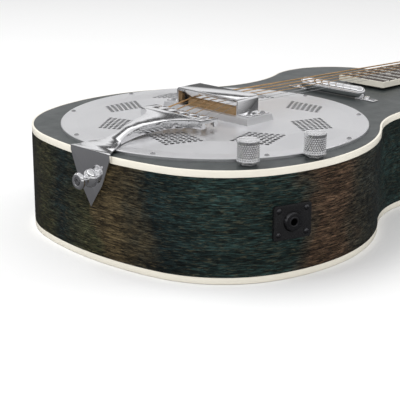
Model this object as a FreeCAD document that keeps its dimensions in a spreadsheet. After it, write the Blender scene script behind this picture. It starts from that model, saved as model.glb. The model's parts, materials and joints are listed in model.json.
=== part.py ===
import FreeCAD, Part
import math
import os
import re
import Sketcher

# Resonator guitar, in millimetres.
# Origin: on the back's outer face, directly under the centre of the cone.
# +X runs along the neck, +Y to the bass side, +Z out of the top.

doc = FreeCAD.newDocument("resonator_guitar")
sheet = doc.addObject("Spreadsheet::Sheet", "Sizes")

SIZES = {
    # body outline: bend radii and how far each bend turns, from the tail to the neck
    "tail_reach": 156.0, "tail_bend": 320.0, "shoulder_bend": 109.0, "bout_bend": 182.0,
    "waist_bend": 118.0, "upper_bend": 73.0, "tail_turn": 13.4, "shoulder_turn": 56.5,
    "bout_turn": 57.3, "waist_turn": 61.7,
    # body
    "body_depth": 98.0, "plate_thick": 3.0, "side_thick": 3.2, "binding_wide": 2.2,
    "binding_tall": 6.1, "lining_wide": 6.0, "lining_tall": 12.0, "block_long": 22.0,
    "tail_block_wide": 70.0, "neck_block_wide": 64.0, "brace_wide": 8.0, "brace_tall": 12.0,
    # resonator
    "well_radius": 134.5, "well_wall": 6.0, "ledge_wide": 9.0, "ledge_drop": 14.0,
    "ledge_thick": 6.0, "port_radius": 14.0, "cone_radius": 133.0, "cone_thick": 1.0,
    "cone_deep": 24.0, "cone_valley": 70.0, "cone_lip": 8.5, "cone_peak": 2.0, "hub_radius": 13.0,
    "hub_tall": 12.0, "leg_wide": 6.0, "spider_reach": 127.0,
    "saddle_long": 66.0, "saddle_thick": 5.0, "saddle_top": 117.0, "saddle_tall": 22.0,
    # coverplate
    "cover_radius": 144.5, "cover_thick": 1.2, "cover_seat": 99.4, "cover_flat": 15.0,
    "cover_rise": 4.5, "cover_lip": 1.3, "hole_radius": 2.0, "hole_pitch": 5.4,
    "cluster_middle": 95.0, "screw_circle": 139.6, "screw_head": 2.3, "screw_first": 2.2,
    "mesa_middle": 3.0, "mesa_long": 34.0, "mesa_wide": 108.0, "mesa_top": 111.0, "mesa_slope": 1.2,
    "slot_long": 24.0, "slot_wide": 76.0, "rest_start": -11.0, "rest_long": 28.0,
    "rest_half": 39.5, "rest_top": 127.0, "rest_thick": 1.6, "rest_foot": 14.0, "rest_lip": 3.4,
    # tailpiece
    "tail_offset": -4.5, "bracket_wide": 51.0, "bracket_drop": 48.5, "sheet_thick": 1.6,
    "stem_end": 62.0, "anchor_half": 40.0, "anchor_long": 20.0, "window_long": 7.0,
    "window_wide": 5.2, "strap_height": 75.0, "strap_screw_long": 26.0,
    # strings and neck
    "scale_length": 635.0, "saddle_spread": 52.0, "nut_spread": 35.0,
    "board_start": 226.0, "board_foot": 101.2, "board_thick": 6.0, "board_wide_end": 59.0,
    "nut_wide": 44.5, "neck_tilt": 1.0, "head_tilt": 13.0, "head_long": 180.0,
    "head_wide": 70.0, "head_thick": 14.0, "veneer_thick": 1.6, "neck_deep": 17.0,
    "fret_tall": 1.1, "edge_wide": 1.6,
    # electrics
    "pickup_place": 177.0, "pickup_half": 41.5, "pickup_radius": 6.2, "pickup_gap": 1.2,
    "volume_x": -91.5, "volume_y": -126.5, "tone_x": -34.0, "tone_y": -149.5,
    "knob_radius": 9.7, "knob_tall": 18.9, "knob_low": 2.8, "shaft_radius": 3.0,
    "recess_radius": 5.4, "recess_deep": 2.6, "bush_radius": 4.6, "bush_tall": 4.4,
    "pot_radius": 8.3, "pot_tall": 10.0, "nut_flat": 12.7, "nut_tall": 2.0,
    "jack_wide": 36.5, "jack_tall": 30.0, "jack_thick": 2.2, "jack_bore": 3.2,
    "jack_ring": 8.8, "jack_height": 51.0, "jack_angle": -113.8,
    # tuners
    "tuner_first": 46.0, "tuner_pitch": 40.0, "tuner_side": 21.0, "post_radius": 3.0,
    "gear_radius": 6.0, "worm_radius": 2.4, "worm_gap": 0.3, "key_reach": 20.0,
}
for row, (alias, number) in enumerate(SIZES.items(), start=1):
    sheet.set(f"A{row}", alias)
    sheet.set(f"B{row}", str(number))
    sheet.setAlias(f"B{row}", alias)
doc.recompute()

V = FreeCAD.Vector
UP = V(0, 0, 1)
ALONG = V(1, 0, 0)
ACROSS = V(0, 1, 0)
pieces = []


def formula(text):
    """Sheet names in a formula, written the way an expression needs them."""
    return re.sub(r"[a-z_]{3,}", lambda found: f"Sizes.{found.group()}"
                  if found.group() in SIZES else found.group(), str(text))


def size(text):
    """The value of a formula in sheet names."""
    return float(sheet.evalExpression(formula(text)))


def place(obj, at=(0, 0, 0), axis=UP, turn=0):
    """Put an object at a position given as formulas, turned about an axis."""
    obj.Placement = FreeCAD.Placement(V(), FreeCAD.Rotation(axis, turn))
    for letter, text in zip("xyz", at):
        obj.setExpression(f"Placement.Base.{letter}", formula(text))
    return obj


def primitive(kind, label, sizes, at=(0, 0, 0), axis=UP, turn=0):
    """A Part primitive whose sizes are bound to the sheet."""
    obj = doc.addObject(f"Part::{kind}", label)
    obj.Label = label
    for prop, text in sizes.items():
        obj.setExpression(prop, formula(text))
    return place(obj, at, axis, turn)


def rod(label, radius, tall, at, axis=UP, turn=0):
    return primitive("Cylinder", label, {"Radius": radius, "Height": tall}, at, axis, turn)


def shaped(label, shape):
    """A shape made with Part's own functions, from sizes read from the sheet."""
    obj = doc.addObject("Part::Feature", label)
    obj.Label = label
    obj.Shape = shape
    return obj


def turned(label, profile, at=(0, 0, 0), axis=UP, turn=0):
    """A body turned about its own Z axis from (radius, height) formulas."""
    body = doc.addObject("PartDesign::Body", label)
    body.Label = label
    sketch = body.newObject("Sketcher::SketchObject", f"{label}_profile")
    plane = [face for face in body.Origin.OriginFeatures if face.Role == "XZ_Plane"][0]
    sketch.AttachmentSupport = [(plane, "")]
    sketch.MapMode = "FlatFace"
    corners = [V(size(radius), size(height), 0) for radius, height in profile]
    for start, end in zip(corners, corners[1:] + corners[:1]):
        sketch.addGeometry(Part.LineSegment(start, end), False)
    for index in range(len(corners)):
        following = (index + 1) % len(corners)
        sketch.addConstraint(Sketcher.Constraint("Coincident", index, 2, following, 1))
    for index, (point, texts) in enumerate(zip(corners, profile)):
        for kind, value, text, line in (("DistanceX", point.x, texts[0], -2),
                                        ("DistanceY", point.y, texts[1], -1)):
            if abs(value) < 1e-6:
                sketch.addConstraint(Sketcher.Constraint("PointOnObject", index, 1, line))
                continue
            number = sketch.addConstraint(Sketcher.Constraint(kind, -1, 1, index, 1, value))
            sketch.setExpression(f"Constraints[{number}]", formula(text))
    doc.recompute()
    turning = body.newObject("PartDesign::Revolution", f"{label}_turning")
    turning.Profile = sketch
    turning.ReferenceAxis = (sketch, ["V_Axis"])
    turning.Angle = 360.0
    body.Tip = turning
    place(body, at, axis, turn)
    doc.recompute()
    return body


def piece(obj):
    """Mark an object as a finished sub-part."""
    pieces.append(obj)
    return obj


# ---------------------------------------------------------------- body shell

def outline(inset):
    """Closed guitar outline as a wire of arcs, moved inwards by inset."""
    turns = [size(f"{name}_turn") for name in ("tail", "shoulder", "bout")]
    turns.append(-size("waist_turn"))
    turns.append(180.0 - sum(turns))
    bends = [size(f"{name}_bend") for name in ("tail", "shoulder", "bout", "waist", "upper")]
    point = V(-size("tail_reach"), 0, 0)
    heading = 90.0
    edges = []
    ends = []
    for bend, angle in zip(bends, turns):
        sign = math.copysign(1.0, angle)
        course = math.radians(heading)
        right = V(math.sin(course), -math.cos(course), 0) * sign
        centre = point + right * bend
        radius = bend - sign * inset

        def on_arc(share):
            course_then = math.radians(heading - angle * share)
            outward = V(-math.sin(course_then), math.cos(course_then), 0) * sign
            return centre + outward * radius

        edges.append(Part.Arc(on_arc(0), on_arc(0.5), on_arc(1)).toShape())
        ends.append(on_arc(1))
        course_end = math.radians(heading - angle)
        outward_end = V(-math.sin(course_end), math.cos(course_end), 0) * sign
        point = centre + outward_end * bend
        heading -= angle
    mirrored = [edge.mirror(V(), ACROSS) for edge in edges]
    last = ends[-1]
    heel = Part.LineSegment(last, V(last.x, -last.y, 0)).toShape()
    return Part.Wire(Part.__sortEdges__(edges + [heel] + mirrored))


def slab(inset, low, high):
    """The outline filled and raised from one height to another."""
    shape = Part.Face(outline(inset)).extrude(V(0, 0, high - low))
    shape.translate(V(0, 0, low))
    return shape


def hoop(outer, inner, low, high):
    return slab(outer, low, high).cut(slab(inner, low - 1, high + 1))


depth = size("body_depth")
plate = size("plate_thick")
binding = size("binding_wide")
tall = size("binding_tall")
inner_wall = size("side_thick")
lining_in = size("side_thick + lining_wide")
lining_tall = size("lining_tall")
joint = outline(0).BoundBox.XMax


def drum(radius, low, high, x=0.0, y=0.0):
    return Part.makeCylinder(radius, high - low, V(x, y, low))


side_height = size("jack_height")
jack_turn = math.radians(size("jack_angle"))


def side_point(angle, inset=0.0):
    """Where a ray from the origin at this angle meets the side, and the outward normal."""
    ray = Part.LineSegment(V(), V(math.cos(angle), math.sin(angle), 0) * 400).toShape()
    wire = outline(inset)
    gap, pairs, _ = wire.distToShape(ray)
    spot = pairs[0][0]
    best = min(wire.Edges, key=lambda edge: edge.distToShape(Part.Vertex(spot))[0])
    middle = best.Curve.Center
    normal = (spot - middle).normalize()
    return spot, normal


jack_spot, jack_normal = side_point(jack_turn)
jack_spot = V(jack_spot.x, jack_spot.y, side_height)
jack_frame = FreeCAD.Placement(
    jack_spot, FreeCAD.Rotation(UP.cross(jack_normal), UP, jack_normal, "ZYX"))

shell = hoop(0.0, inner_wall, tall, depth - tall)
shell = shell.fuse(hoop(binding, inner_wall, plate, depth - plate)).removeSplitter()
jack_hole = Part.makeCylinder(5.0, 24, V(0, 0, -14))
jack_hole.Placement = jack_frame
tail_offset = size("tail_offset")
strap_hole = Part.makeCylinder(1.6, 22, V(-size("tail_reach") - 5, tail_offset, size("strap_height")), ALONG)
piece(shaped("body_sides", shell.cut(jack_hole).cut(strap_hole)))

pot_places = [V(size(f"{name}_x"), size(f"{name}_y"), 0) for name in ("volume", "tone")]
screw_count = 9
rim_angles = [size("screw_first") + 360 / screw_count * index for index in range(screw_count)]
top = slab(binding, depth - plate, depth).cut(drum(size("well_radius"), 0, 200))
for spot in pot_places:
    top = top.cut(drum(size("bush_radius") + 0.2, 0, 200, spot.x, spot.y))
for angle in rim_angles:
    pilot = drum(1.45, 0, 200, size("screw_circle"))
    pilot.rotate(V(), UP, angle)
    top = top.cut(pilot)
piece(shaped("body_top", top))
piece(shaped("body_back", slab(binding, 0, plate)))
piece(shaped("top_binding", hoop(0.0, binding, depth - tall, depth)))
piece(shaped("back_binding", hoop(0.0, binding, 0, tall)))

pot_room = Part.makeCompound([drum(size("pot_radius + 1"), 60, 200, spot.x, spot.y)
                              for spot in pot_places])
top_lining = hoop(inner_wall, lining_in, depth - plate - lining_tall, depth - plate)
well_outer = size("well_radius + well_wall")
top_lining = top_lining.cut(drum(well_outer + 0.3, 0, 200)).cut(pot_room)
blocks = (("tail_block", -size("tail_reach") + inner_wall, size("tail_block_wide")),
          ("neck_block", joint - inner_wall - 2 * size("block_long"), size("neck_block_wide")))
block_shapes = {}
inside = slab(inner_wall, plate, depth - plate)
for label, start, wide in blocks:
    long = size("block_long") * (2 if label == "neck_block" else 1)
    raw = Part.makeBox(long + 10, wide, depth - 2 * plate,
                       V(start - (10 if label == "tail_block" else 0), -wide / 2, plate))
    block_shapes[label] = raw.common(inside).cut(drum(well_outer + 0.3, 0, 200))
linings = {"top_lining": top_lining,
           "back_lining": hoop(inner_wall, lining_in, plate, plate + lining_tall)}
for label, lining in linings.items():
    for block in block_shapes.values():
        lining = lining.cut(block)
    piece(shaped(label, lining))
piece(shaped("tail_block", block_shapes["tail_block"].cut(strap_hole)))
piece(shaped("neck_block", block_shapes["neck_block"]))

brace_tall = size("brace_tall")
room = slab(lining_in, plate, depth)
braces = []
for place_x in (-70.0, 60.0, 190.0):
    bar = Part.makeBox(size("brace_wide"), 400, brace_tall, V(place_x, -200, plate))
    braces.append(bar.common(room))
piece(shaped("back_braces", Part.makeCompound(braces)))

# ---------------------------------------------------------------- resonator

ledge_top = depth - size("ledge_drop")
well_low = plate + brace_tall + 1
well = drum(well_outer, well_low, depth - plate).cut(drum(size("well_radius"), 0, 200))
ledge = drum(size("well_radius + 1"), ledge_top - size("ledge_thick"), ledge_top)
well = well.fuse(ledge.cut(drum(size("well_radius - ledge_wide"), 0, 200)))
for index in range(8):
    port = Part.makeCylinder(size("port_radius"), 60, V(110, 0, 48), ALONG)
    port.rotate(V(), UP, 22.5 + 45 * index)
    well = well.cut(port)
piece(shaped("soundwell", well.removeSplitter()))

piece(turned("resonator_cone", [
    ("0", "cone_peak"), ("10", "cone_peak"), ("cone_valley", "-cone_deep"),
    ("cone_radius - cone_lip", "0"), ("cone_radius", "0"), ("cone_radius", "cone_thick"),
    ("cone_radius - cone_lip - 0.4", "cone_thick"), ("cone_valley", "-cone_deep + cone_thick * 1.3"),
    ("10", "cone_peak + cone_thick"), ("0", "cone_peak + cone_thick")][::-1],
    at=("0", "0", "body_depth - ledge_drop")))

hub_low = ledge_top + size("cone_peak + cone_thick")
legs = Part.makeCylinder(size("hub_radius"), size("hub_tall") - 3, V(0, 0, hub_low))
reach = size("spider_reach")
leg_wide = size("leg_wide")
rim_top = ledge_top + size("cone_thick")
for index in range(8):
    corners = [V(8, 0, hub_low + 5), V(reach, 0, rim_top + 0.2), V(reach, 0, rim_top + 4.4),
               V(8, 0, hub_low + 9), V(8, 0, hub_low + 5)]
    leg = Part.Face(Part.makePolygon(corners)).extrude(V(0, leg_wide, 0))
    leg.translate(V(0, -leg_wide / 2, 0))
    foot = Part.makeBox(leg_wide, leg_wide, 3, V(reach - leg_wide, -leg_wide / 2, rim_top))
    leg = leg.fuse(foot)
    leg.rotate(V(), UP, 22.5 + 45 * index)
    legs = legs.fuse(leg)
saddle_foot = size("saddle_top - saddle_tall")
seat = Part.makeBox(size("saddle_thick + 8"), size("saddle_long"), 10,
                    V(-size("saddle_thick + 8") / 2, -size("saddle_long") / 2, hub_low + 2))
groove = Part.makeBox(size("saddle_thick"), size("saddle_long + 2"), 40,
                      V(-size("saddle_thick") / 2, -size("saddle_long + 2") / 2, saddle_foot))
screw_room = drum(2.0, 0, 200)
spider = legs.fuse(seat).cut(groove).cut(screw_room).removeSplitter()
piece(shaped("spider_bridge", spider))
piece(shaped("spider_screw", drum(1.9, hub_low, saddle_foot - 0.2)))
saddle_half, saddle_top = size("saddle_thick") / 2, size("saddle_top")
ridge = [V(x, -size("saddle_long") / 2, z) for x, z in (
    (-saddle_half, saddle_foot), (saddle_half, saddle_foot), (saddle_half, saddle_top - 1.4),
    (0.3, saddle_top), (-0.3, saddle_top), (-saddle_half, saddle_top - 1.4),
    (-saddle_half, saddle_foot))]
piece(shaped("saddle", Part.Face(Part.makePolygon(ridge)).extrude(V(0, size("saddle_long"), 0))))

# ---------------------------------------------------------------- coverplate

cover_blank = turned("cover_blank", [
    ("0", "cover_rise"), ("58", "cover_rise"), ("100", "cover_rise * 0.75"),
    ("cover_radius - cover_flat", "0"), ("cover_radius - cover_lip", "0"),
    ("cover_radius - cover_lip", "body_depth - cover_seat"), ("cover_radius", "body_depth - cover_seat"),
    ("cover_radius", "cover_thick - 0.6"), ("cover_radius - 0.6", "cover_thick"),
    ("cover_radius - cover_flat", "cover_thick"), ("100", "cover_rise * 0.75 + cover_thick"),
    ("58", "cover_rise + cover_thick"), ("0", "cover_rise + cover_thick")][::-1],
    at=("0", "0", "cover_seat"))
cover_top = size("cover_seat + cover_rise + cover_thick")
thick = size("cover_thick")


def mesa(grow, low, high):
    """The raised middle: a plank across the plate with sloped sides."""
    middle = size("mesa_middle")
    half_x, half_y = size("mesa_long") / 2 + grow, size("mesa_wide") / 2 + grow
    loops = []
    for extra, height in ((size("mesa_slope"), low), (0.0, high)):
        low_x, high_x, y = middle - half_x - extra, middle + half_x + extra, half_y + extra
        corners = [V(low_x, -y, height), V(high_x, -y, height), V(high_x, y, height), V(low_x, y, height)]
        loops.append(Part.makePolygon(corners + corners[:1]))
    return Part.makeLoft(loops, True)


mesa_top = size("mesa_top")
cover = cover_blank.Shape.copy()
cover = cover.cut(mesa(-thick, cover_top - thick - 6, mesa_top - thick))
hollow = mesa(-thick, cover_top - thick - 0.01, mesa_top - thick)
cover = cover.fuse(mesa(0, cover_top - thick, mesa_top).cut(hollow)).removeSplitter()
cover = cover.cut(Part.makeBox(size("slot_long"), size("slot_wide"), 60,
                               V(size("mesa_middle - slot_long / 2"), -size("slot_wide") / 2, 80)))
holes = []
pitch = size("hole_pitch") / math.sqrt(2) * 0.98
for cluster in range(8):
    angle = 22.5 + 45 * cluster
    for down in range(7):
        for over in range(7):
            spot = V(size("cluster_middle") + (down + over - 6) * pitch * 0.80,
                     (down - over) * pitch * 1.10, 90)
            hole = Part.makeCylinder(size("hole_radius"), 30, spot)
            hole.rotate(V(), UP, angle)
            holes.append(hole)
for angle in rim_angles:
    hole = Part.makeCylinder(1.7, 30, V(size("screw_circle"), 0, 90))
    hole.rotate(V(), UP, angle)
    holes.append(hole)
foot_y = size("rest_half + rest_foot - 4.5")
rest_start, rest_long = size("rest_start"), size("rest_long")
foot_spots = [V(side_x, side_y, 0) for side_y in (-foot_y, foot_y)
              for side_x in (rest_start + 4.5, rest_start + rest_long - 4.5)]
for spot in foot_spots:
    holes.append(Part.makeCylinder(1.5, 30, V(spot.x, spot.y, 90)))
cover = cover.cut(Part.makeCompound(holes))
piece(shaped("coverplate", cover))


def screw(head, thread, long, spot, out=UP):
    """A round-head screw whose head sits on spot and whose thread runs inwards."""
    dome = Part.makeSphere(head * 1.2, V(0, 0, -head * 0.62))
    dome = dome.common(Part.makeBox(20, 20, 20, V(-10, -10, 0)))
    slot_bar = Part.makeBox(0.7, head * 3, 2, V(-0.35, -head * 1.5, head * 0.38))
    cross = slot_bar.fuse(slot_bar.rotated(V(), UP, 90))
    shape = dome.cut(cross).fuse(Part.makeCylinder(thread, long, V(0, 0, -long)))
    shape.Placement = FreeCAD.Placement(spot, FreeCAD.Rotation(UP, out))
    return shape


def spun(shape, angle):
    return shape.rotated(V(), UP, angle)


rim_screw = screw(size("screw_head"), 1.4, 4.0, V(size("screw_circle"), 0, size("cover_seat") + thick))
piece(shaped("coverplate_screws", Part.makeCompound([spun(rim_screw, angle) for angle in rim_angles])))

rest_thick = size("rest_thick")
half = size("rest_half")
foot = size("rest_foot")
rest_top = size("rest_top")
bend = 3.0
half_under = [V(0, -half - foot, mesa_top + rest_thick), V(0, -half - foot, mesa_top),
              V(0, -half + rest_thick, mesa_top), V(0, -half + rest_thick, rest_top - bend),
              V(0, -half + bend, rest_top - rest_thick)]
half_over = [V(0, -half + bend, rest_top), V(0, -half + 0.9, rest_top - 0.9),
             V(0, -half, rest_top - bend), V(0, -half, mesa_top + rest_thick)]


def mirrored(points):
    return [V(point.x, -point.y, point.z) for point in reversed(points)]


loop = half_under + mirrored(half_under) + mirrored(half_over) + half_over
loop.append(loop[0])
rest = Part.Face(Part.makePolygon(loop)).extrude(V(rest_long, 0, 0))
rest.translate(V(rest_start, 0, 0))
lip_tall = size("rest_lip")
for edge_x in (rest_start, rest_start + rest_long - rest_thick):
    rest = rest.fuse(Part.makeBox(rest_thick, 2 * (half - bend), lip_tall,
                                  V(edge_x, bend - half, rest_top - lip_tall)))
rest = rest.removeSplitter()
for spot in foot_spots:
    rest = rest.cut(Part.makeCylinder(1.6, 30, V(spot.x, spot.y, 90)))
piece(shaped("hand_rest", rest))
piece(shaped("hand_rest_screws", Part.makeCompound([
    screw(2.6, 1.4, 4.5, V(spot.x, spot.y, mesa_top + rest_thick)) for spot in foot_spots])))

# ---------------------------------------------------------------- tailpiece and strap button

tail = -size("tail_reach")
sheet_thick = size("sheet_thick")
tail_out = tail - sheet_thick
stem_end = -size("stem_end")
anchor_half = size("anchor_half")
anchor_front = stem_end + size("anchor_long")
half_bracket = size("bracket_wide") / 2


def stem_outline(inset):
    """Plan of the tailpiece: wide at the tail, a narrow waist, then a cross-bar."""
    plan = ((tail_out + 1, half_bracket - 0.6), (-150, 20.6), (-140, 15.0), (-130, 9.2), (-120, 6.8),
            (-110, 7.4), (-100, 9.5), (-90, 12.8), (-80, 16.4), (-70, 23.5), (stem_end, anchor_half))
    side = [V(x, y - inset, 0) for x, y in plan]
    curve = Part.BSplineCurve()
    curve.interpolate(side)
    near = curve.toShape()
    far = near.mirror(V(), ACROSS)
    front = [side[-1], V(anchor_front - inset, anchor_half - inset, 0),
             V(anchor_front - inset, inset - anchor_half, 0), V(stem_end, inset - anchor_half, 0)]
    lines = [Part.makeLine(start, end) for start, end in zip(front, front[1:])]
    back = Part.makeLine(V(side[0].x, -side[0].y, 0), side[0])
    wire = Part.Wire(Part.__sortEdges__([near, far, back] + lines))
    return Part.Face(wire).extrude(V(0, 0, 60)).translated(V(0, 0, 80))


def side_band(points):
    """A closed side view, given as (x, z), pushed across the guitar."""
    corners = [V(x, -60, z) for x, z in points + points[:1]]
    return Part.Face(Part.makePolygon(corners)).extrude(V(0, 120, 0))


stem_line = [(tail_out, depth + 2.4), (-150, depth + 3.2), (-145, depth + 4.4), (-138, 103.0),
             (-130, 104.6), (-120, 108.2), (-110, 111.9), (-100, 114.0), (-90, 115.2),
             (-80, 115.8), (stem_end, 116.0), (anchor_front, 115.2)]
sheet_view = stem_line + [(x, z - sheet_thick) for x, z in reversed(stem_line)]
flange_foot = [(anchor_front, 108.2), (stem_end, 108.2), (-80, 107.8), (-90, 107.2), (-100, 106.0),
               (-110, 104.2), (-120, 102.3), (-130, 101.2)]
band_view = stem_line[4:] + flange_foot
tailpiece = stem_outline(0).common(side_band(sheet_view))
rim = stem_outline(0).cut(stem_outline(1.7)).common(side_band(band_view))
tailpiece = tailpiece.fuse(rim)
drop = size("bracket_drop")
half_edge = [(half_bracket, 2.4), (half_bracket, -2), (15, -27), (7.7, -37), (0, -drop)]
mirror_edge = [(-y, z) for y, z in reversed(half_edge[:-1])]
corners = [V(tail_out, y, depth + z) for y, z in half_edge + mirror_edge + half_edge[:1]]
bracket = Part.Face(Part.makePolygon(corners)).extrude(V(sheet_thick - 0.05, 0, 0))
tailpiece = tailpiece.fuse(bracket)
string_count = 6
saddle_step = size("saddle_spread") / (string_count - 1)
nut_step = size("nut_spread") / (string_count - 1)
ball_x = anchor_front - 9.0
ball_z = 111.0
anchor_step = 12.4
window_long, window_wide = size("window_long"), size("window_wide")
for index in range(string_count):
    y = (index - 2.5) * anchor_step
    slot = Part.makeBox(12, 3.8, 12, V(ball_x, y - 1.9, 106))
    window = Part.makeBox(window_long, window_wide, 12,
                          V(ball_x - window_long / 2, y - window_wide / 2, 110))
    tailpiece = tailpiece.cut(slot).cut(window)
for y in (-anchor_half, anchor_half - 3):
    tailpiece = tailpiece.cut(Part.makeBox(11, 3, 4.6, V(stem_end + 4, y, 108)))
strap_z = size("strap_height")
tailpiece = tailpiece.cut(Part.makeCylinder(2.4, 20, V(tail_out - 5, 0, strap_z), ALONG))
piece(shaped("tailpiece", tailpiece.removeSplitter().translated(V(0, tail_offset, 0))))

strap_at = ("-tail_reach - sheet_thick", "tail_offset", "strap_height")
piece(turned("strap_button", [
    ("2.2", "0"), ("8", "0"), ("8", "1.6"), ("6.8", "3.4"), ("4.2", "5"), ("4.2", "10"), ("5.4", "11"),
    ("7.4", "11.6"), ("7.4", "13.4"), ("6.2", "15"), ("3.6", "15"), ("3.6", "13.4"), ("2.2", "13.4")],
    at=strap_at, axis=ACROSS, turn=-90))
strap_screw = Part.makeCylinder(3.3, 1.8, V()).cut(Part.makeBox(0.9, 4.6, 2, V(-0.45, -2.3, 0.9)))
strap_screw = strap_screw.cut(Part.makeBox(4.6, 0.9, 2, V(-2.3, -0.45, 0.9)))
screw_long = size("strap_screw_long")
strap_screw = strap_screw.fuse(Part.makeCylinder(1.55, screw_long, V(0, 0, -screw_long)))
strap_screw.Placement = FreeCAD.Placement(V(tail_out - 13.45, tail_offset, strap_z),
                                          FreeCAD.Rotation(UP, V(-1, 0, 0)))
piece(shaped("strap_button_screw", strap_screw))

# ---------------------------------------------------------------- neck group

start = size("board_start")
board_foot = size("board_foot")
board = size("board_thick")
scale = size("scale_length")
TILT = FreeCAD.Placement(V(), FreeCAD.Rotation(ACROSS, size("neck_tilt")), V(start, 0, board_foot))
head_turn = FreeCAD.Placement(V(scale, 0, board_foot), FreeCAD.Rotation(ACROSS, size("head_tilt")))
HEAD = TILT.multiply(head_turn)


def tilted(shape, frame=TILT):
    moved = shape.copy()
    moved.Placement = frame.multiply(moved.Placement)
    return moved


def board_half(x):
    """Half the fretboard's width at this distance along the neck."""
    share = (x - start) / (scale - start)
    return (size("board_wide_end") * (1 - share) + size("nut_wide") * share) / 2


def plank(low_x, high_x, inset, low, high):
    """A tapered plank that follows the fretboard's edges."""
    corners = [V(low_x, -board_half(low_x) + inset, low), V(high_x, -board_half(high_x) + inset, low),
               V(high_x, board_half(high_x) - inset, low), V(low_x, board_half(low_x) - inset, low)]
    face = Part.Face(Part.makePolygon(corners + corners[:1]))
    return face.extrude(V(0, 0, high - low))


edge = size("edge_wide")
board_top = board_foot + board
nut_x = scale
core = plank(start + edge, nut_x - 2, edge, board_foot, board_top)
fret_x = [scale * (1 - 2 ** (-index / 12)) for index in range(1, 19)]
fret_x = [scale - distance for distance in fret_x]
fret_x = [x for x in (nut_x - (scale - place_x) for place_x in fret_x) if x > start + 4]
dots = Part.makeCompound([
    Part.makeCylinder(3.0, 1.0, V((fret_x[index - 1] + fret_x[index - 2]) / 2, y, board_top - 1.0))
    for index, y in ((3, 0), (5, 0), (7, 0), (9, 0), (12, -9), (12, 9), (15, 0))])
piece(shaped("fretboard", tilted(core.cut(dots))))
rim = plank(start, nut_x - 2, 0, board_foot, board_top).cut(core)
piece(shaped("fretboard_binding", tilted(rim)))
fret_tall = size("fret_tall")
frets = []
for x in fret_x:
    half = board_half(x) - 0.6
    crown = Part.makeCylinder(fret_tall, 2 * half, V(x, -half, board_top), ACROSS)
    frets.append(crown.common(Part.makeBox(6, 100, 4, V(x - 3, -50, board_top))))
piece(shaped("frets", tilted(Part.makeCompound(frets))))
piece(shaped("position_dots", tilted(dots)))

nut = Part.makeBox(5, size("nut_wide"), board + 1.6, V(nut_x - 2, -size("nut_wide") / 2, board_foot))
for index in range(string_count):
    y = (index - 2.5) * nut_step
    nut = nut.cut(Part.makeBox(8, 1.8, 3, V(nut_x - 3, y - 0.9, board_top + 0.55)))
piece(shaped("nut", tilted(nut)))


def grip(x, deep):
    """Round-backed neck section at this distance along the neck."""
    half = board_half(x)
    left, right = V(x, -half, board_foot), V(x, half, board_foot)
    arc = Part.Arc(left, V(x, 0, board_foot - deep), right).toShape()
    return Part.Wire([arc, Part.makeLine(right, left)])


def heel(z, reach_out, half):
    left, right = V(joint + 0.02, -half, z), V(joint + 0.02, half, z)
    arc = Part.Arc(left, V(joint + reach_out, 0, z), right).toShape()
    return Part.Wire([arc, Part.makeLine(right, left)])


deep = size("neck_deep")
shaft = tilted(Part.makeLoft([grip(joint + 6, deep + 5), grip(nut_x + 4, deep)], True, True))
joint_drop = (joint - start) * math.sin(math.radians(size("neck_tilt")))
heel_top = board_foot - joint_drop - 1.0
foot_block = Part.makeLoft([heel(14, 13, 13), heel(50, 19, 19), heel(heel_top, 60, 27)], True)
above = tilted(Part.makeBox(700, 100, 40, V(start - 20, -50, board_foot)))
tongue = Part.makeBox(joint + 12 - start - 6, 42, 6, V(start + 6, -21, depth + 0.02)).cut(above)
head_long, head_half = size("head_long"), size("head_wide") / 2
head_thick = size("head_thick")
nut_half = size("nut_wide") / 2


def head_plate(low, high, begin):
    """Headstock outline: narrow at the nut, shoulders, then a gently waisted paddle."""
    side = [V(begin, nut_half, low), V(12, nut_half, low), V(26, head_half, low),
            V(head_long - 22, head_half - 4, low), V(head_long, head_half - 12, low)]
    other = [V(point.x, -point.y, low) for point in reversed(side)]
    return Part.Face(Part.makePolygon(side + other + side[:1])).extrude(V(0, 0, high - low))


veneer = size("veneer_thick")
posts = [(size("tuner_first") + size("tuner_pitch") * rank, side * size("tuner_side"), side)
         for side in (1, -1) for rank in range(3)]
bushing_radius = 4.4
head_wood = head_plate(-head_thick, 0, -2)
head_veneer = head_plate(0, veneer, 4.2)
for x, y, _ in posts:
    hole = drum(bushing_radius, -30, 30, x, y)
    head_wood = head_wood.cut(hole)
    head_veneer = head_veneer.cut(hole)
rod_tunnel = Part.makeBox(nut_x - joint - 10, 6, 9, V(joint + 4, -3, board_foot - 9))
neck = shaft.fuse(foot_block).fuse(tongue).fuse(tilted(head_wood, HEAD)).cut(above.common(
    tilted(Part.makeBox(scale - start - 2.1 + 24, 100, 40, V(start - 20, -50, board_foot)))))
nut_block = tilted(Part.makeBox(5.2, 60, 20, V(nut_x - 2.1, -30, board_foot)))
neck = neck.cut(nut_block).cut(tilted(rod_tunnel)).removeSplitter()
piece(shaped("neck", neck))
piece(shaped("truss_rod", tilted(Part.makeBox(nut_x - joint - 14, 5.4, 8.4,
                                               V(joint + 6, -2.7, board_foot - 8.7)))))
piece(shaped("headstock_veneer", tilted(head_veneer, HEAD).cut(nut_block)))

# ---------------------------------------------------------------- tuners

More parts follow.
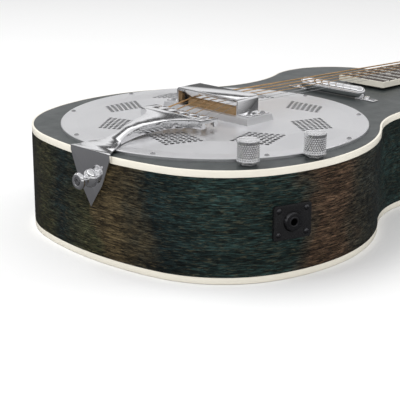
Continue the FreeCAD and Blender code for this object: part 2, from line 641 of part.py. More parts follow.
post_radius = size("post_radius")
fit = 0.05
gear_radius, worm_radius = size("gear_radius"), size("worm_radius")
gear_low = -head_thick - 5.6
worm_x = gear_radius + worm_radius + size("worm_gap")
worm_z = gear_low + 1.7
key_start = head_half + 5
plates, bushings, tuner_screws = [], [], []
for number, (x, y, side) in enumerate(posts, start=1):
    plate_shape = Part.makeBox(30, 17, 1.2, V(x - 11, y - 8.5, -head_thick - 1.2))
    for ear in (-6.9, 5.3):
        ear_shape = Part.makeBox(6, 1.6, 8.2, V(x + worm_x - 3, y + ear, -head_thick - 9.0))
        plate_shape = plate_shape.fuse(ear_shape)
    bearing = Part.makeCylinder(1.6 + fit, 30, V(x + worm_x, y - 15, worm_z), ACROSS)
    plate_shape = plate_shape.cut(bearing).cut(drum(post_radius + fit, -40, 30, x, y))
    fixing_spots = [V(x - 8.6, y, -head_thick - 1.2), V(x + 16.4, y, -head_thick - 1.2)]
    for spot in fixing_spots:
        plate_shape = plate_shape.cut(drum(1.2, -40, 0, spot.x, spot.y))
        tuner_screws.append(tilted(screw(2.0, 1.1, 1.15, spot, V(0, 0, -1)), HEAD))
    plates.append(tilted(plate_shape.removeSplitter(), HEAD))
    bush = drum(bushing_radius, -head_thick, veneer, x, y).fuse(drum(6.2, veneer, veneer + 1.4, x, y))
    bushings.append(tilted(bush.cut(drum(post_radius + fit, -40, 30, x, y)), HEAD))
    post = drum(post_radius, gear_low, veneer + 15, x, y)
    gear = drum(gear_radius, gear_low, gear_low + 3.4, x, y)
    for tooth in range(14):
        notch = Part.makeBox(3, 1.0, 6, V(gear_radius - 1.1, -0.5, gear_low - 1))
        notch.rotate(V(), UP, tooth * 360 / 14)
        gear = gear.cut(notch.translated(V(x, y, 0)))
    eye = Part.makeCylinder(0.9, 20, V(x, y - 10, veneer + 10), ACROSS)
    piece(shaped(f"tuner_post_{number}", tilted(post.fuse(gear).cut(eye).removeSplitter(), HEAD)))
    far_end = y - side * 7.4
    reach_y = side * key_start
    axle = Part.makeCylinder(1.6, abs(reach_y - far_end) + 3, V(x + worm_x, far_end, worm_z),
                             V(0, side, 0))
    worm = Part.makeCylinder(worm_radius, 9.0, V(x + worm_x, y - 4.5, worm_z), ACROSS)
    button = Part.makeBox(15, size("key_reach"), 7.6, V(-7.5, 0, -3.8))
    button = button.makeFillet(3.2, button.Edges)
    if side < 0:
        button.translate(V(0, -size("key_reach"), 0))
    button.translate(V(x + worm_x, reach_y, worm_z))
    collar = Part.makeCylinder(3.2, 3.4, V(x + worm_x, reach_y - side * 2.6, worm_z), V(0, side, 0))
    key = axle.fuse(worm).fuse(collar).fuse(button).removeSplitter()
    piece(shaped(f"tuner_key_{number}", tilted(key, HEAD)))
piece(shaped("tuner_plates", Part.makeCompound(plates)))
piece(shaped("tuner_bushings", Part.makeCompound(bushings)))
piece(shaped("tuner_screws", Part.makeCompound(tuner_screws)))

# ---------------------------------------------------------------- strings


def taut(points, radius):
    """A round wire along straight stretches with mitred corners."""
    rim = Part.Wire(Part.makeCircle(radius, points[0], points[1] - points[0]))
    return Part.Wire(Part.makePolygon(points).Edges).makePipeShell([rim], True, False, 1)


gauges = (0.165, 0.22, 0.33, 0.44, 0.57, 0.70)
# strings run from the treble side to the bass side; the outer ones take the nearest posts
post_of_string = (3, 4, 5, 2, 1, 0)
wound, plain, balls = [], [], []
for index, gauge in enumerate(gauges):
    anchor_y = (index - 2.5) * anchor_step + tail_offset
    saddle_point = V(0, (index - 2.5) * saddle_step, saddle_top + gauge + 0.16)
    nut_point = TILT.multVec(V(nut_x + 4.0, (index - 2.5) * nut_step, board_top + 0.7 + gauge))
    post_x, post_y, side = posts[post_of_string[index]]
    gap = post_radius + 0.3 + gauge
    coil_z = veneer + 6.5
    leave = HEAD.multVec(V(post_x, post_y - side * (gap + 2 * gauge + 0.1), coil_z))
    path = [V(ball_x + 2.4, anchor_y, ball_z), saddle_point, nut_point, leave]
    coil = Part.makeTorus(gap, gauge, V(post_x, post_y, coil_z), UP)
    (plain if index < 2 else wound).extend([taut(path, gauge), tilted(coil, HEAD)])
    ball = Part.makeCylinder(2.2, 3.0, V(ball_x, anchor_y - 1.5, ball_z), ACROSS)
    ball = ball.cut(Part.makeCylinder(1.0, 4.0, V(ball_x, anchor_y - 2, ball_z), ACROSS))
    balls.append(ball)
piece(shaped("wound_strings", Part.makeCompound(wound)))
piece(shaped("plain_strings", Part.makeCompound(plain)))
piece(shaped("string_balls", Part.makeCompound(balls)))

# ---------------------------------------------------------------- pickup

pick_x, pick_half, pick_radius = size("pickup_place"), size("pickup_half"), size("pickup_radius")
pick_z = depth + size("pickup_gap") - 0.6 + pick_radius


def capsule(radius, half_long):
    reach_y = half_long - radius
    tube = Part.makeCylinder(radius, 2 * reach_y, V(pick_x, -reach_y, pick_z), ACROSS)
    for y in (-reach_y, reach_y):
        tube = tube.fuse(Part.makeSphere(radius, V(pick_x, y, pick_z)))
    return tube


tube = capsule(pick_radius, pick_half)
for side in (-1, 1):
    ear_low = pick_half - 9 if side > 0 else -pick_half - 15
    ear = Part.makeBox(8, 24, 1.2, V(pick_x - 4, ear_low, depth + 0.02))
    boss = drum(3.3, depth + 0.5, depth + 3.6, pick_x, side * (pick_half + 3.2))
    tube = tube.fuse(ear).fuse(boss)
tube = tube.cut(capsule(pick_radius - 0.7, pick_half - 0.7))
screw_y = pick_half + 10.5
for y in (-screw_y, screw_y):
    tube = tube.cut(drum(1.6, 0, 200, pick_x, y))
piece(shaped("pickup_cover", tube.removeSplitter()))
piece(rod("pickup_coil", "pickup_radius - 1.4", "2 * pickup_half - 16",
          ("pickup_place", "8 - pickup_half", "body_depth + pickup_gap - 0.6 + pickup_radius"), ALONG, -90))
piece(shaped("pickup_screws", Part.makeCompound([
    screw(2.7, 1.3, 1.15, V(pick_x, y, depth + 1.22)) for y in (-screw_y, screw_y)])))

# ---------------------------------------------------------------- controls

nuts, cases = [], []
for label, spot in zip(("volume", "tone"), pot_places):
    x, y = spot.x, spot.y
    case = drum(size("pot_radius"), depth - plate - size("pot_tall"), depth - plate, x, y)
    case = case.fuse(drum(size("bush_radius"), depth - plate, depth + size("bush_tall"), x, y))
    case = case.cut(drum(size("shaft_radius") + fit, depth - plate - size("pot_tall") + 2, 200, x, y))
    cases.append(case)
    corners = [V(x + size("nut_flat") / math.sqrt(3) * math.cos(math.radians(60 * corner)),
                 y + size("nut_flat") / math.sqrt(3) * math.sin(math.radians(60 * corner)), depth)
               for corner in range(7)]
    hexagon = Part.Face(Part.makePolygon(corners)).extrude(V(0, 0, size("nut_tall")))
    nuts.append(hexagon.cut(drum(size("bush_radius") + fit, 0, 200, x, y)))
    piece(turned(f"knob_{label}", [
        ("shaft_radius", "recess_deep"), ("recess_radius", "recess_deep"), ("recess_radius", "0"),
        ("knob_radius - 0.5", "0"), ("knob_radius", "0.6"), ("knob_radius", "knob_tall - 0.8"),
        ("knob_radius - 0.8", "knob_tall"), ("0", "knob_tall"), ("0", "knob_tall - 2"),
        ("shaft_radius", "knob_tall - 2")],
        at=(f"{label}_x", f"{label}_y", "body_depth + knob_low")))
    piece(rod(f"shaft_{label}", "shaft_radius", "plate_thick + knob_low + knob_tall + pot_tall - 5",
              (f"{label}_x", f"{label}_y", "body_depth - plate_thick - pot_tall + 3")))

jack_wide, jack_tall, jack_thick = size("jack_wide"), size("jack_tall"), size("jack_thick")
jack_slab = Part.makeBox(jack_wide, jack_tall, jack_thick + 6, V(-jack_wide / 2, -jack_tall / 2, -6))
upright = [line for line in jack_slab.Edges if line.BoundBox.ZLength > jack_thick]
jack_slab = jack_slab.makeFillet(2.5, upright)
jack_fixings = []
for across, along in ((-1, -1), (-1, 1), (1, -1), (1, 1)):
    spot = V(along * 13.6, across * 10.4, jack_thick)
    jack_slab = jack_slab.cut(Part.makeCylinder(1.5, 20, V(spot.x, spot.y, -10)))
    fixing = screw(2.4, 1.3, jack_thick - 0.3, spot)
    fixing.Placement = jack_frame.multiply(fixing.Placement)
    jack_fixings.append(fixing)
jack_slab = jack_slab.cut(Part.makeCylinder(5.0, 30, V(0, 0, -15)))
jack_slab.Placement = jack_frame
piece(shaped("jack_plate", jack_slab.cut(slab(-0.02, 0, depth))))
ring_radius = size("jack_ring")
ring = Part.makeCone(ring_radius, ring_radius - 1.2, 2.4, V(0, 0, jack_thick))
ring = ring.cut(Part.makeCylinder(4.85, 9, V(0, 0, -2)))
ring.Placement = jack_frame
jack_fixings.append(ring)
piece(shaped("jack_plate_screws", Part.makeCompound(jack_fixings)))
jack = Part.makeCylinder(4.8, 30, V(0, 0, -25.4))
jack = jack.fuse(Part.makeCylinder(7.5, 18, V(0, 0, -25.4)))
jack = jack.cut(Part.makeCylinder(size("jack_bore"), 28, V(0, 0, -23.4)))
jack.Placement = jack_frame
piece(shaped("output_jack", jack))
piece(shaped("control_nuts", Part.makeCompound(nuts)))
piece(shaped("pot_cases", Part.makeCompound(cases)))

# ---------------------------------------------------------------- check and write

doc.recompute()
for obj in doc.Objects:
    if "Invalid" in obj.State or "Error" in obj.State:
        raise RuntimeError(f"{obj.Label} did not compute: {obj.State}")
faulty = [obj.Label for obj in pieces
          if obj.Shape.isNull() or not obj.Shape.isValid() or not obj.Shape.Solids]
if faulty:
    raise RuntimeError(f"no valid solid in {faulty}")
os.makedirs("parts", exist_ok=True)
for obj in pieces:
    obj.Shape.exportStep(f"parts/{obj.Label}.step")
print(len(pieces), "pieces written")
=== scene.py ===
import json
import math

import bmesh
import bpy
from mathutils import Matrix, Vector


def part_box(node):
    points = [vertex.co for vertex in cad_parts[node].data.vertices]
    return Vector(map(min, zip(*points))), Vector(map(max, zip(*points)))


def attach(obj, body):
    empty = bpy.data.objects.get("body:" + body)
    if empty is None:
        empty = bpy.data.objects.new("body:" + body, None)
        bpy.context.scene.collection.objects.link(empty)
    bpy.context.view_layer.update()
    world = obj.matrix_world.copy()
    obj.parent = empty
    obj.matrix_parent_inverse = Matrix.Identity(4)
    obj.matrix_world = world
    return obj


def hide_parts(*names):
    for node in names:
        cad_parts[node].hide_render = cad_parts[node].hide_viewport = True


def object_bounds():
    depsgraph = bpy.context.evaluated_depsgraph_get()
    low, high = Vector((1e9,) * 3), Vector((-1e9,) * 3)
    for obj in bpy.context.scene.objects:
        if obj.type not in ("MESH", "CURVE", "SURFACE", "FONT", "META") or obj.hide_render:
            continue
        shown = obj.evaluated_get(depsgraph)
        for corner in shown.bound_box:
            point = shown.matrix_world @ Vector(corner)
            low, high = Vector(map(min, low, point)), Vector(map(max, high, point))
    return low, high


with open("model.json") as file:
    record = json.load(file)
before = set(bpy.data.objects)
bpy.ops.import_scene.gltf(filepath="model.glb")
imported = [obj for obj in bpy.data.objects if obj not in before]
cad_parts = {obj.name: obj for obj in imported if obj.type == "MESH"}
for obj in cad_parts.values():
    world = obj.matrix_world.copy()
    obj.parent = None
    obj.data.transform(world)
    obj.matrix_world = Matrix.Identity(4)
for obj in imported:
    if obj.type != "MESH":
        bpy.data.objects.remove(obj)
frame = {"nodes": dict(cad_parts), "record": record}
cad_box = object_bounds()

MM = 0.001
NODES = frame["nodes"]
RECORD = frame["record"]
BODY_OF = {node: body for body, members in RECORD["behaviour"]["bodies"].items() for node in members}
SLOT_OF = {row["node"]: row["material_slot"] for row in RECORD["subparts"]}


# ------------------------------------------------------------------ node graphs

class Graph:
    """Lays down the nodes of one material."""

    def __init__(self, name):
        self.material = bpy.data.materials.new(name)
        self.material.use_nodes = True
        self.tree = self.material.node_tree
        self.shader = self.tree.nodes["Principled BSDF"]

    def put(self, socket, value):
        """Link a socket to another or set its value; None leaves it alone."""
        if isinstance(value, bpy.types.NodeSocket):
            self.tree.links.new(value, socket)
        elif value is not None:
            socket.default_value = value

    def add(self, kind, inputs=(), out=0, **settings):
        """A new node with these inputs and settings; gives back one of its outputs."""
        node = self.tree.nodes.new(kind)
        for key, value in settings.items():
            setattr(node, key, value)
        for key, value in dict(inputs).items():
            self.put(node.inputs[key], value)
        return node.outputs[out]

    def place(self, scale=(1, 1, 1), turn=(0, 0, 0)):
        """Object coordinates in metres, scaled and turned."""
        where = self.add("ShaderNodeTexCoord", out="Object")
        return self.add("ShaderNodeMapping", {"Vector": where, "Scale": scale, "Rotation": turn})

    def noise(self, scale, detail=3.0, rough=0.55, twist=0.0, stretch=(1, 1, 1), turn=(0, 0, 0)):
        """Cloudy grey pattern; a stretch above 1 along an axis shortens it there."""
        return self.add("ShaderNodeTexNoise", {"Vector": self.place(stretch, turn), "Scale": scale,
                                               "Detail": detail, "Roughness": rough, "Distortion": twist})

    def ramp(self, factor, stops):
        """Colour or grey ramp from (position, value) stops."""
        node = self.tree.nodes.new("ShaderNodeValToRGB")
        while len(node.color_ramp.elements) < len(stops):
            node.color_ramp.elements.new(0.5)
        for element, (position, value) in zip(node.color_ramp.elements, stops):
            element.position = position
            colour = (value,) * 3 if isinstance(value, (int, float)) else tuple(value)
            element.color = colour + (1.0,)
        self.put(node.inputs["Fac"], factor)
        return node.outputs["Color"]

    def math(self, operation, first, second, third=None):
        return self.add("ShaderNodeMath", {0: first, 1: second, 2: third}, operation=operation)

    def mix(self, factor, first, second, blend="MIX"):
        """Two colours mixed or multiplied."""
        node = self.tree.nodes.new("ShaderNodeMix")
        node.data_type = "RGBA"
        node.blend_type = blend
        for index, value in ((0, factor), (6, first), (7, second)):
            if isinstance(value, tuple):
                value = value + (1.0,) * (4 - len(value))
            self.put(node.inputs[index], value)
        return node.outputs[2]

    def bump(self, height, depth, below=None):
        """Surface normal from a height pattern, depth in metres, over another one."""
        return self.add("ShaderNodeBump", {"Height": height, "Distance": depth, "Normal": below})

    def finish(self, colour, rough, normal=None, **fixed):
        """Feeds the shader; fixed values go to its sockets by name."""
        self.put(self.shader.inputs["Base Color"], colour)
        self.put(self.shader.inputs["Roughness"], rough)
        self.put(self.shader.inputs["Normal"], normal)
        for key, value in fixed.items():
            self.shader.inputs[key.replace("_", " ")].default_value = value
        return self.material


# ------------------------------------------------------------------ materials

def metal(name, colour, rough, spread, grain=0.0, dulled=0.85):
    """Plated or bare metal: cloudy roughness, hairline scratches and a slightly uneven surface."""
    graph = Graph(name)
    cloud = graph.noise(38, 4.0)
    smear = graph.noise(7, 3.0, twist=0.8)
    hair = graph.noise(240, 2.0, stretch=(1, 14, 3), turn=(0.3, 0.2, 0.5))
    scratch = graph.ramp(hair, [(0.0, 0.0), (0.62, 0.0), (0.68, 1.0), (0.74, 0.0), (1.0, 0.0)])
    tint = graph.mix(graph.ramp(smear, [(0.35, 0.0), (0.7, 1.0)]), tuple(colour),
                     tuple(dulled * part for part in colour))
    level = graph.math("MULTIPLY_ADD", graph.ramp(cloud, [(0.3, 0.0), (0.75, 1.0)]), spread, rough)
    level = graph.math("ADD", level, graph.math("MULTIPLY", scratch, 0.05))
    normal = graph.bump(graph.noise(22, 1.0), 0.00005)
    normal = graph.bump(scratch, 0.000008, below=normal)
    if grain:
        normal = graph.bump(graph.noise(900, 3.0), grain, below=normal)
    return graph.finish(tint, level, normal, Metallic=1.0)


def side_wood(name):
    """Open-grained mahogany under a dark teal stain that breaks to olive, gold and reddish brown."""
    graph = Graph(name)
    around = graph.add("ShaderNodeTexGradient", {"Vector": graph.place()}, out=1, gradient_type="RADIAL")
    drift = graph.noise(11, 4.0, rough=0.6, twist=0.8)
    around = graph.math("ADD", around, graph.math("MULTIPLY_ADD", drift, 0.10, -0.05))
    teal, deep, night = (0.0085, 0.0190, 0.0175), (0.0042, 0.0095, 0.0105), (0.0036, 0.0042, 0.0036)
    olive, brown, red = (0.022, 0.023, 0.0110), (0.041, 0.030, 0.0145), (0.046, 0.027, 0.0160)
    faded = (0.016, 0.016, 0.012)
    stain = graph.ramp(around, [
        (0.00, olive), (0.014, brown), (0.034, brown), (0.066, deep), (0.13, teal), (0.178, teal),
        (0.202, red), (0.232, red), (0.275, faded), (0.33, deep), (0.42, teal), (0.50, night),
        (0.60, teal), (0.70, red), (0.80, teal), (0.90, night), (0.94, olive), (0.965, deep), (1.0, olive)])
    band = graph.noise(6, 4.0, stretch=(1, 1, 9), twist=0.5)
    streak = graph.noise(30, 5.0, stretch=(1, 1, 30), rough=0.62, twist=0.15)
    fine = graph.noise(95, 5.0, stretch=(1, 1, 11), rough=0.75)
    figure = graph.ramp(streak, [(0.30, 0.42), (0.50, 1.0), (0.72, 1.9)])
    colour = graph.mix(1.0, stain, figure, "MULTIPLY")
    colour = graph.mix(1.0, colour, graph.ramp(band, [(0.28, 0.55), (0.72, 1.7)]), "MULTIPLY")
    colour = graph.mix(1.0, colour, graph.ramp(fine, [(0.35, 0.20), (0.50, 0.95), (0.65, 3.0)]), "MULTIPLY")
    fleck = graph.noise(130, 4.0, stretch=(1, 1, 8), rough=0.7)
    gold = graph.mix(1.0, graph.mix(0.5, (0.060, 0.044, 0.020), stain), (2.6, 2.6, 2.6), "MULTIPLY")
    light = graph.ramp(fleck, [(0.54, 0.0), (0.63, 1.0)])
    colour = graph.mix(graph.math("MULTIPLY", light, 0.55), colour, gold)
    pores = graph.noise(110, 4.0, stretch=(1, 1, 9), rough=0.75, turn=(0.0, 0.04, 0.0))
    pore = graph.ramp(pores, [(0.0, 1.0), (0.40, 1.0), (0.46, 0.0), (1.0, 0.0)])
    colour = graph.mix(graph.math("MULTIPLY", pore, 0.85), colour, (0.0022, 0.0026, 0.0024))
    rough = graph.ramp(streak, [(0.2, 0.46), (0.8, 0.60)])
    normal = graph.bump(pore, -0.00016)
    normal = graph.bump(streak, 0.00010, below=normal)
    return graph.finish(colour, rough, normal, Specular_IOR_Level=0.16)


def satin_lacquer(name, colour, grain=(1, 14, 14)):
    """Thin satin lacquer: slate colour with faint straight grain and fine orange peel."""
    graph = Graph(name)
    streak = graph.noise(40, 5.0, stretch=grain, rough=0.6, twist=0.2)
    cloud = graph.noise(11, 3.0)
    pale = tuple(1.35 * part for part in colour)
    dark = tuple(0.68 * part for part in colour)
    base = graph.mix(graph.ramp(streak, [(0.3, 0.0), (0.7, 1.0)]), dark, pale)
    base = graph.mix(graph.math("MULTIPLY", cloud, 0.35), base, tuple(colour))
    peel = graph.noise(700, 2.0)
    rough = graph.ramp(graph.noise(60, 4.0), [(0.3, 0.36), (0.75, 0.48)])
    normal = graph.bump(peel, 0.00003)
    normal = graph.bump(streak, 0.00005, below=normal)
    return graph.finish(base, rough, normal, Specular_IOR_Level=0.5)


def bare_wood(name, colour, grain=(1, 12, 12), shine=0.55):
    """Unfinished or oiled wood with growth lines and short pores."""
    graph = Graph(name)
    rings = graph.noise(28, 5.0, stretch=grain, rough=0.62, twist=0.7)
    pores = graph.noise(260, 2.0, stretch=grain)
    pore = graph.ramp(pores, [(0.36, 1.0), (0.42, 0.0)])
    shade = graph.ramp(rings, [(0.25, tuple(0.62 * part for part in colour)), (0.5, colour),
                               (0.8, tuple(min(1.0, 1.25 * part) for part in colour))])
    base = graph.mix(graph.math("MULTIPLY", pore, 0.6), shade, tuple(0.35 * part for part in colour))
    rough = graph.ramp(rings, [(0.2, shine), (0.8, min(1.0, shine + 0.18))])
    normal = graph.bump(rings, 0.00008)
    normal = graph.bump(pore, -0.00008, below=normal)
    return graph.finish(base, rough, normal)


def plastic(name, colour, rough, texture, scale, coat=0.0, soiled=0.9):
    """Moulded or scraped plastic with faint mottling and fine surface texture."""
    graph = Graph(name)
    cloud = graph.noise(30, 4.0)
    base = graph.mix(graph.ramp(cloud, [(0.35, 0.0), (0.75, 1.0)]), tuple(colour),
                     tuple(soiled * part for part in colour))
    level = graph.ramp(graph.noise(90, 3.0), [(0.3, rough), (0.8, min(1.0, rough + 0.12))])
    normal = graph.bump(graph.noise(scale, 3.0), texture)
    return graph.finish(base, level, normal, Coat_Weight=coat)


def wound_wire(name, colour):
    """Bronze wrap wire: fine rings along the string, with painted shade darkening the grooves between them.
    """
    graph = Graph(name)
    pitch = 0.45 * MM
    rings = graph.add("ShaderNodeTexWave", {"Vector": graph.place(), "Scale": 0.32 / pitch, "Distortion": 0.3,
                                            "Detail": 1.0}, out=1, wave_type="BANDS", bands_direction="X")
    tarnish = graph.noise(60, 4.0)
    base = graph.mix(graph.ramp(tarnish, [(0.3, 0.0), (0.7, 1.0)]), tuple(colour),
                     tuple(0.72 * part for part in colour))
    # painted shade: the groove part of each ring is darkened towards 0.4 of the wire colour
    base = graph.mix(graph.ramp(rings, [(0.0, 0.5), (0.5, 0.0)]), base, tuple(0.4 * part for part in colour))
    rough = graph.ramp(tarnish, [(0.2, 0.25), (0.8, 0.42)])
    return graph.finish(base, rough, graph.bump(rings, 0.00008), Metallic=1.0)


def spun_metal(name, colour, rough):
    """Spun or lathe-turned sheet with fine concentric lines about the Z axis."""
    graph = Graph(name)
    lines = graph.add("ShaderNodeTexWave", {"Vector": graph.place(), "Scale": 900, "Distortion": 0.6,
                                            "Detail": 2.0}, out=1, wave_type="RINGS", rings_direction="Z")
    cloud = graph.noise(14, 4.0)
    base = graph.mix(graph.ramp(cloud, [(0.3, 0.0), (0.75, 1.0)]), tuple(colour),
                     tuple(0.9 * part for part in colour))
    level = graph.ramp(graph.noise(45, 4.0), [(0.3, rough), (0.8, rough + 0.08)])
    return graph.finish(base, level, graph.bump(lines, 0.00002), Metallic=1.0)


def cover_metal(name):
    """Nickel-bright plated sheet, satin from buffing, with pressed-sheet waviness and hairlines."""
    graph = Graph(name)
    cloud = graph.noise(16, 4.0, twist=0.5)
    base = graph.mix(graph.ramp(cloud, [(0.3, 0.0), (0.75, 1.0)]), (0.90, 0.90, 0.91), (0.85, 0.85, 0.865))
    hair = graph.noise(420, 2.0, stretch=(1, 9, 1), turn=(0, 0, 0.7))
    scratch = graph.ramp(hair, [(0.60, 0.0), (0.66, 1.0), (0.72, 0.0)])
    level = graph.ramp(graph.noise(52, 4.0), [(0.3, 0.34), (0.8, 0.42)])
    level = graph.math("ADD", level, graph.math("MULTIPLY", scratch, 0.05))
    normal = graph.bump(graph.noise(18, 1.5), 0.00003)
    normal = graph.bump(scratch, 0.000006, below=normal)
    return graph.finish(base, level, normal, Metallic=1.0)


MATERIALS = {
    "top_finish": satin_lacquer("slate_lacquer", (0.036, 0.043, 0.043)),
    "side_wood": side_wood("stained_mahogany"),
    "binding": plastic("cream_binding", (0.90, 0.855, 0.745),
                       rough=0.28, texture=0.00001, scale=300, coat=0.2, soiled=0.95),
    "plain_wood": bare_wood("raw_spruce", (0.46, 0.30, 0.17)),
    "well_wood": bare_wood("raw_plywood", (0.10, 0.065, 0.04), grain=(2, 2, 30)),
    "spun_aluminium": spun_metal("spun_aluminium", (0.17, 0.17, 0.175), rough=0.45),
    "cast_aluminium": metal("cast_aluminium", (0.22, 0.22, 0.23), rough=0.42, spread=0.12, grain=0.00008),
    "steel": metal("plain_steel", (0.52, 0.52, 0.53), rough=0.24, spread=0.14),
    "maple": bare_wood("bare_maple", (0.62, 0.41, 0.22), grain=(12, 1, 12)),
    "cover_chrome": cover_metal("plated_cover"),
    "screw_chrome": metal("plated_screw", (0.42, 0.42, 0.43), rough=0.22, spread=0.1),
    "chrome": metal("polished_chrome", (0.84, 0.84, 0.85), rough=0.045, spread=0.04, dulled=0.95),
    "bronze": wound_wire("bronze_wrap", (0.86, 0.55, 0.27)),
    "brass": metal("turned_brass", (0.72, 0.48, 0.18), rough=0.18, spread=0.1),
    "coil_tape": plastic("coil_tape", (0.012, 0.012, 0.012), rough=0.6, texture=0.00005, scale=200),
    "rosewood": bare_wood("oiled_rosewood", (0.034, 0.018, 0.012), grain=(1, 16, 16), shine=0.42),
    "fret_metal": metal("nickel_fret", (0.66, 0.65, 0.61), rough=0.14, spread=0.1),
    "pearl": plastic("pearl_dot", (0.74, 0.73, 0.68),
                     rough=0.2, texture=0.00001, scale=120, coat=0.5, soiled=0.8),
    "bone": plastic("bone_nut", (0.74, 0.68, 0.54), rough=0.36, texture=0.00002, scale=400, soiled=0.88),
    "neck_finish": satin_lacquer("dark_neck_stain", (0.021, 0.026, 0.025), grain=(1, 18, 18)),
    "nut_metal": metal("plated_nut", (0.58, 0.58, 0.59), rough=0.16, spread=0.1),
    "knob_metal": metal("knurled_chrome", (0.88, 0.88, 0.89), rough=0.24, spread=0.08),
    "black_plastic": plastic("moulded_black", (0.010, 0.010, 0.011),
                             rough=0.20, texture=0.00003, scale=900),
    "black_screw": metal("black_oxide", (0.085, 0.085, 0.090), rough=0.20, spread=0.10),
    "jack_metal": metal("dark_nickel", (0.10, 0.10, 0.105), rough=0.28, spread=0.12),
    "post_metal": metal("plated_post", (0.68, 0.68, 0.69), rough=0.12, spread=0.08),
    "key_metal": metal("plated_key", (0.70, 0.70, 0.71), rough=0.10, spread=0.07),
}


def paint(obj, slot):
    obj.data.materials.clear()
    obj.data.materials.append(MATERIALS[slot])
    return obj


# ------------------------------------------------------------------ pieces from the frame

def new_piece(name, bm, node, smooth):
    """A finished mesh that stands for a CAD node and rides on its body."""
    mesh = bpy.data.meshes.new(name)
    bm.normal_update()
    bm.to_mesh(mesh)
    bm.free()
    obj = bpy.data.objects.new(name, mesh)
    bpy.context.scene.collection.objects.link(obj)
    mesh.shade_smooth()
    mesh.set_sharp_from_angle(angle=math.radians(smooth))
    paint(obj, SLOT_OF[node])
    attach(obj, BODY_OF[node])
    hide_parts(node)
    return obj


def clean_copy(node):
    """The node's mesh, welded, with flat areas joined into whole faces."""
    bm = bmesh.new()
    bm.from_mesh(NODES[node].data)
    bmesh.ops.remove_doubles(bm, verts=bm.verts, dist=2e-6)
    bmesh.ops.dissolve_limit(bm, angle_limit=math.radians(0.6), verts=bm.verts, edges=bm.edges)
    return bm


def rounded(node, width):
    """The node with its sharp edges rolled over by width (mm)."""
    bm = clean_copy(node)
    limit = math.radians(28)
    sharp = [edge for edge in bm.edges if edge.is_manifold and edge.calc_face_angle(0) > limit]
    bmesh.ops.bevel(bm, geom=sharp, offset=width * MM, offset_type="OFFSET", segments=2,
                    profile=0.5, affect="EDGES", clamp_overlap=True)
    return new_piece(f"{node}_finished", bm, node, smooth=40)


def knurled_knob(node):
    """A flat-topped knob with real diamond knurling, plain end bands and a dished top."""
    low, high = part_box(node)
    centre = Vector(((low.x + high.x) / 2, (low.y + high.y) / 2, low.z))
    radius, tall = (high.x - low.x) / 2, high.z - low.z
    steps, rows, teeth, depth, slant = 270, 44, 27, 0.95 * MM, 0.62
    start, end = 1.5 * MM, tall - 1.3 * MM
    pocket_radius, pocket_roof = 5.4 * MM, 2.6 * MM
    bore_radius, bore_roof = 3.02 * MM, tall - 2.0 * MM
    bm = bmesh.new()

    def ring(distance, height):
        verts = []
        for step in range(steps):
            angle = 2 * math.pi * step / steps
            reach = distance(step) if callable(distance) else distance
            spot = Vector((reach * math.cos(angle), reach * math.sin(angle), height))
            verts.append(bm.verts.new(centre + spot))
        return verts

    def join(lower, upper):
        for step in range(steps):
            following = (step + 1) % steps
            bm.faces.new((lower[step], lower[following], upper[following], upper[step]))

    rings = [ring(pocket_radius, pocket_roof), ring(pocket_radius, 0)]
    for inset, height in ((0.5, 0.0), (0.1, 0.4), (0.1, 1.0), (0.6, 1.3)):
        rings.append(ring(radius - inset * MM, height * MM))
    for row in range(rows + 1):
        climb = row / rows * (end - start) / (2 * math.pi * radius / teeth) * slant
        edge = min(1.0, 6.0 * min(row, rows - row) / rows + 0.1)

        def knurl(step):
            turn = step / steps * teeth
            first = abs((turn + climb) % 1.0 - 0.5) * 2
            second = abs((turn - climb) % 1.0 - 0.5) * 2
            return radius - 0.02 * MM - depth * (1.0 - min(first, second)) ** 0.7 * edge

        rings.append(ring(knurl, start + (end - start) * row / rows))
    for inset, drop in ((0.4, 1.15), (0.1, 0.95), (0.1, 0.6), (0.5, 0.08), (0.9, 0.0), (1.5, 0.0),
                        (1.8, 0.25), (4.5, 0.45), (7.5, 0.5)):
        rings.append(ring(radius - inset * MM, tall - drop * MM))
    rings.append(ring(1.0 * MM, tall - 0.5 * MM))
    for lower, upper in zip(rings, rings[1:]):
        join(lower, upper)
    bm.faces.new(rings[-1])
    bore_foot, bore_top = ring(bore_radius, pocket_roof), ring(bore_radius, bore_roof)
    join(bore_foot, rings[0])
    join(bore_top, bore_foot)
    bm.faces.new(list(reversed(bore_top)))
    return new_piece(f"{node}_knurled", bm, node, smooth=38)


for label in ("volume", "tone"):
    knurled_knob(f"knob_{label}")

# how far each piece's sharp edges are rolled over, in millimetres
ROUNDED = {
    "tailpiece": 0.35, "hand_rest": 0.55, "strap_button": 0.35, "strap_button_screw": 0.15,
    "coverplate_screws": 0.12, "hand_rest_screws": 0.12, "pickup_screws": 0.12,
    "control_nuts": 0.25, "jack_plate": 0.45, "jack_plate_screws": 0.12, "nut": 0.35,
    "saddle": 0.4, "string_balls": 0.2, "tuner_plates": 0.2, "tuner_bushings": 0.25,
    "tuner_screws": 0.12, "headstock_veneer": 0.3, "top_binding": 0.55, "back_binding": 0.8,
    "spider_bridge": 0.3, "pickup_cover": 0.2, "output_jack": 0.25,
}
for number in range(1, 7):
    ROUNDED[f"tuner_key_{number}"] = 0.15
    ROUNDED[f"tuner_post_{number}"] = 0.2
for node, width in ROUNDED.items():
    rounded(node, width)
for node in NODES:
    paint(NODES[node], SLOT_OF[node])


# ------------------------------------------------------------------ stage, light and camera

def floor_material(name, colour):
    """Matt paper, pale to the eye and dark in the metal's reflections."""
    graph = Graph(name)
    base = graph.mix(graph.noise(3, 2.0), tuple(colour), tuple(0.985 * part for part in colour))
    mirrored = graph.add("ShaderNodeLightPath", out="Is Glossy Ray")
    return graph.finish(graph.mix(mirrored, base, (0.10, 0.10, 0.105)), 0.9)


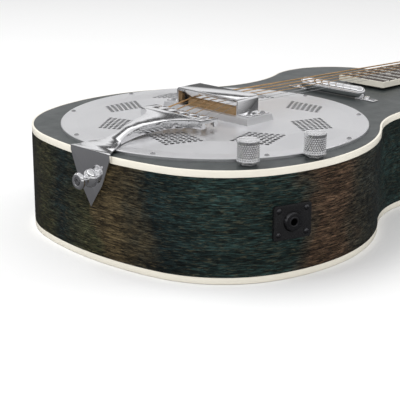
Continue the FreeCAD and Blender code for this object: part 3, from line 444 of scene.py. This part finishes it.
def add_floor():
    bm = bmesh.new()
    bmesh.ops.create_grid(bm, x_segments=1, y_segments=1, size=12.0)
    mesh = bpy.data.meshes.new("floor")
    bm.to_mesh(mesh)
    bm.free()
    floor = bpy.data.objects.new("floor", mesh)
    floor.location = (0, 0, cad_box[0][2] - 0.2 * MM)
    bpy.context.scene.collection.objects.link(floor)
    mesh.materials.append(floor_material("pale_floor", (0.93, 0.93, 0.93)))


def add_light(name, where, aim, wide, tall, watts):
    """A soft panel that lights the object; metal mirrors the studio's grey bands instead of it."""
    data = bpy.data.lights.new(name, "AREA")
    data.shape = "RECTANGLE"
    data.size, data.size_y = wide, tall
    data.energy = watts
    light = bpy.data.objects.new(name, data)
    light.location = where
    light.visible_glossy = False
    light.rotation_euler = (Vector(aim) - Vector(where)).to_track_quat("-Z", "Y").to_euler()
    bpy.context.scene.collection.objects.link(light)


def add_world():
    """Even pale light, except that metal mirrors soft horizontal bands of grey."""
    world = bpy.data.worlds.new("studio")
    world.use_nodes = True
    # (height of the direction, grey): dark floor line, soft walls, a dark and a bright strip
    bands = ((0.00, 0.08), (0.05, 0.30), (0.13, 0.76), (0.34, 0.92), (0.44, 0.12), (0.54, 0.10), (0.62, 1.7),
             (0.74, 0.80), (1.0, 0.62))
    tree = world.node_tree
    background = tree.nodes["Background"]
    where = tree.nodes.new("ShaderNodeTexCoord")
    split = tree.nodes.new("ShaderNodeSeparateXYZ")
    sky = tree.nodes.new("ShaderNodeValToRGB")
    for _ in range(len(bands) - 2):
        sky.color_ramp.elements.new(0.5)
    for element, (height, grey) in zip(sky.color_ramp.elements, bands):
        element.position = height
        element.color = (grey, grey, grey * 1.01, 1.0)
    path = tree.nodes.new("ShaderNodeLightPath")
    choose = tree.nodes.new("ShaderNodeMix")
    choose.data_type = "RGBA"
    choose.inputs[6].default_value = (0.62, 0.62, 0.62, 1.0)
    tree.links.new(where.outputs["Generated"], split.inputs[0])
    tree.links.new(split.outputs["Z"], sky.inputs["Fac"])
    tree.links.new(path.outputs["Is Glossy Ray"], choose.inputs[0])
    tree.links.new(sky.outputs["Color"], choose.inputs[7])
    tree.links.new(choose.outputs[2], background.inputs["Color"])
    background.inputs["Strength"].default_value = 1.0
    bpy.context.scene.world = world


def turned(first, second, angle):
    """Two axes turned together in their own plane."""
    return (first * math.cos(angle) + second * math.sin(angle),
            second * math.cos(angle) - first * math.sin(angle))


def add_camera():
    """Camera low behind the tail, on the treble side, looking along the body."""
    azimuth, elevation = math.radians(-46.05), math.radians(14.02)
    yaw, pitch, roll = math.radians(-0.70), math.radians(-3.22), math.radians(0.33)
    distance, above_back = 1.106, 0.085
    back = Vector((math.sin(azimuth) * math.cos(elevation), -math.cos(azimuth) * math.cos(elevation),
                   math.sin(elevation)))
    place = Vector((0, 0, above_back)) + back * distance
    right = Vector((math.cos(azimuth), math.sin(azimuth), 0))
    up = back.cross(right)
    right, back = turned(right, back, yaw)
    up, back = turned(up, back, pitch)
    right, up = turned(right, up, roll)
    data = bpy.data.cameras.new("camera")
    data.sensor_width = 36
    data.lens = 104.8
    data.clip_end = 60
    camera = bpy.data.objects.new("camera", data)
    camera.matrix_world = Matrix((right, up, back)).transposed().to_4x4()
    camera.location = place
    bpy.context.scene.collection.objects.link(camera)
    bpy.context.scene.camera = camera


add_floor()
add_world()
add_light("key", (-0.6, 0.7, 1.9), (0.0, 0.0, 0.05), 1.8, 1.2, 26)
add_light("front", (-1.7, -1.5, 1.2), (0.0, 0.0, 0.05), 1.2, 0.8, 9)
add_light("neck_side", (1.6, -1.2, 1.4), (0.1, 0.0, 0.05), 1.2, 0.9, 12)
add_camera()
bpy.context.scene.view_settings.view_transform = "Standard"
